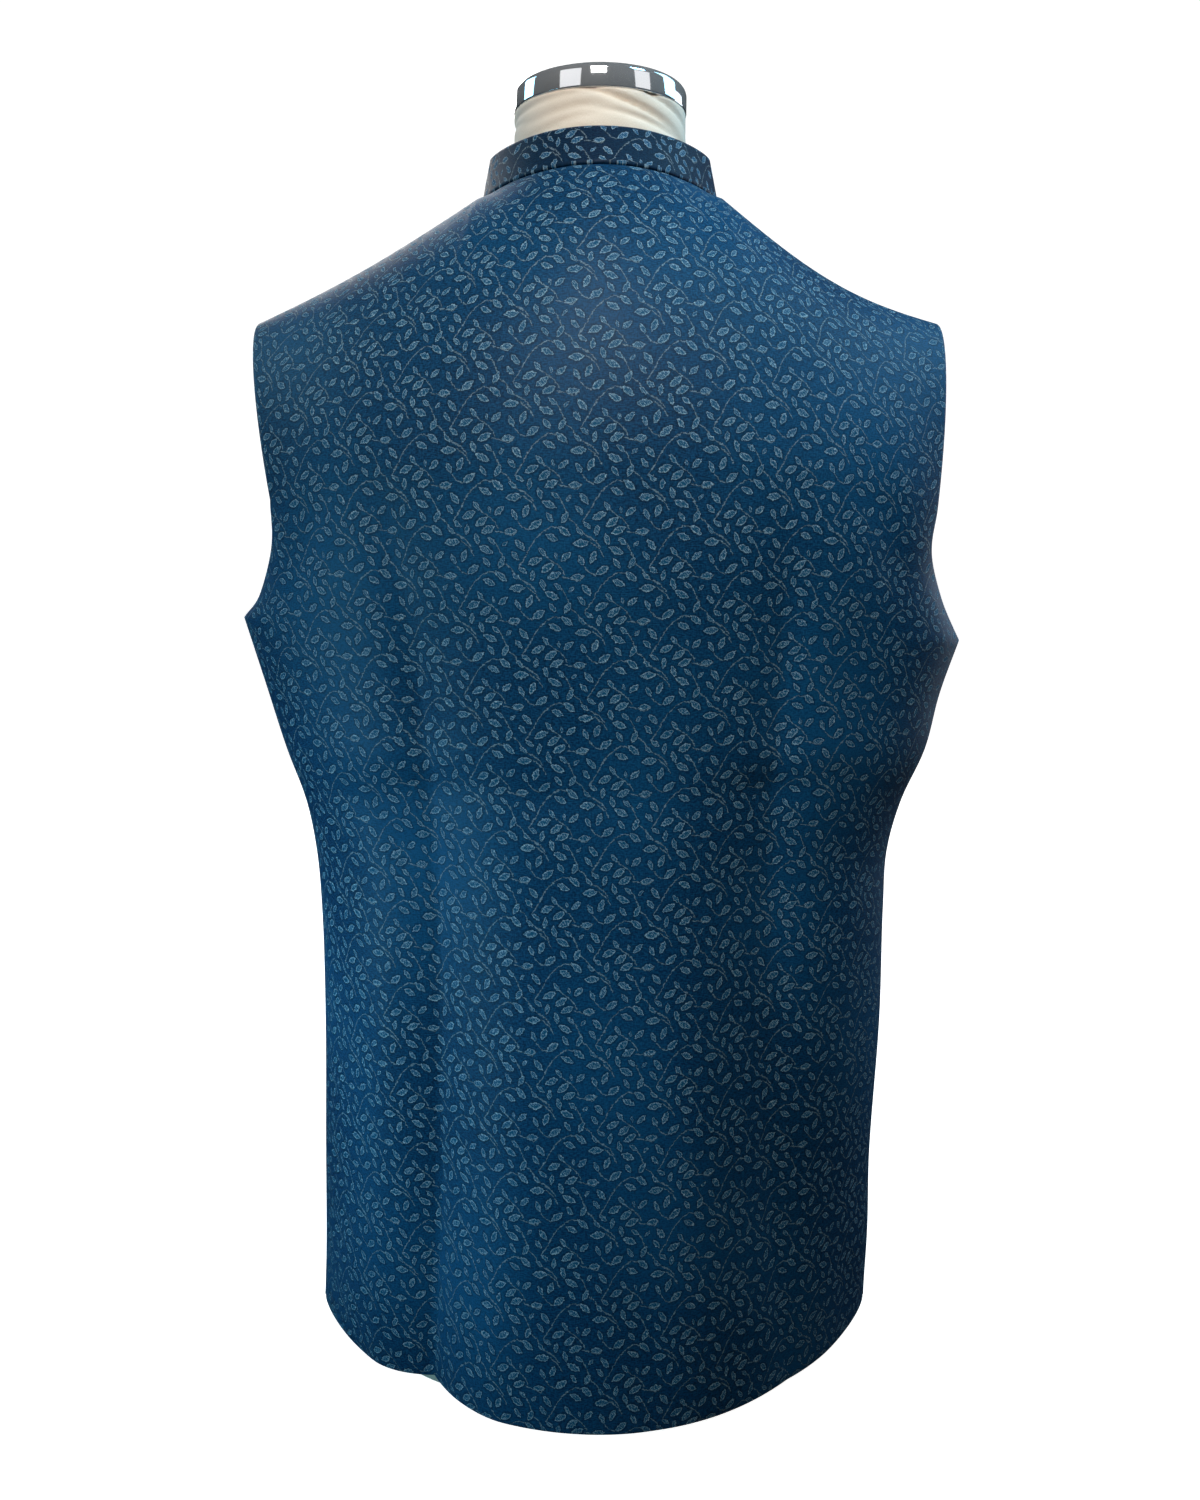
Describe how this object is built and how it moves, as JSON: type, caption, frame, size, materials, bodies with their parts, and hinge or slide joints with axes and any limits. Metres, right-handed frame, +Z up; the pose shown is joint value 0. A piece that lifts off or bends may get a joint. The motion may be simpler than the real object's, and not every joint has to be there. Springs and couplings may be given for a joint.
{
  "type": "nehru jacket on dress form",
  "caption": "Sleeveless stand-collar jacket in leaf-pattern jacquard, buttoned up on a limbless torso form with a covered neck and a polished cap.",
  "frame": {"origin": "middle of the form's flat underside", "axes": "+Z up, the jacket faces -Y and its back is towards +Y, +X is the wearer's left"},
  "size_m": [0.471, 0.2715, 0.8289],
  "materials": {
    "jacquard": "navy blue jacquard with small grey-blue leaves on fine stems and a soft satin sheen",
    "button": "plain dark navy sew-through buttons, half gloss",
    "form_cover": "smooth cream knitted cover",
    "cap_metal": "polished chrome"
  },
  "bodies": {
    "root": {"back": "jacquard", "front_left": "jacquard", "front_right": "jacquard", "collar": "jacquard", "button_1": "button", "button_2": "button", "button_3": "button", "button_4": "button", "button_5": "button", "form_body": "form_cover", "neck_cap": "cap_metal"}
  },
  "joints": []
}
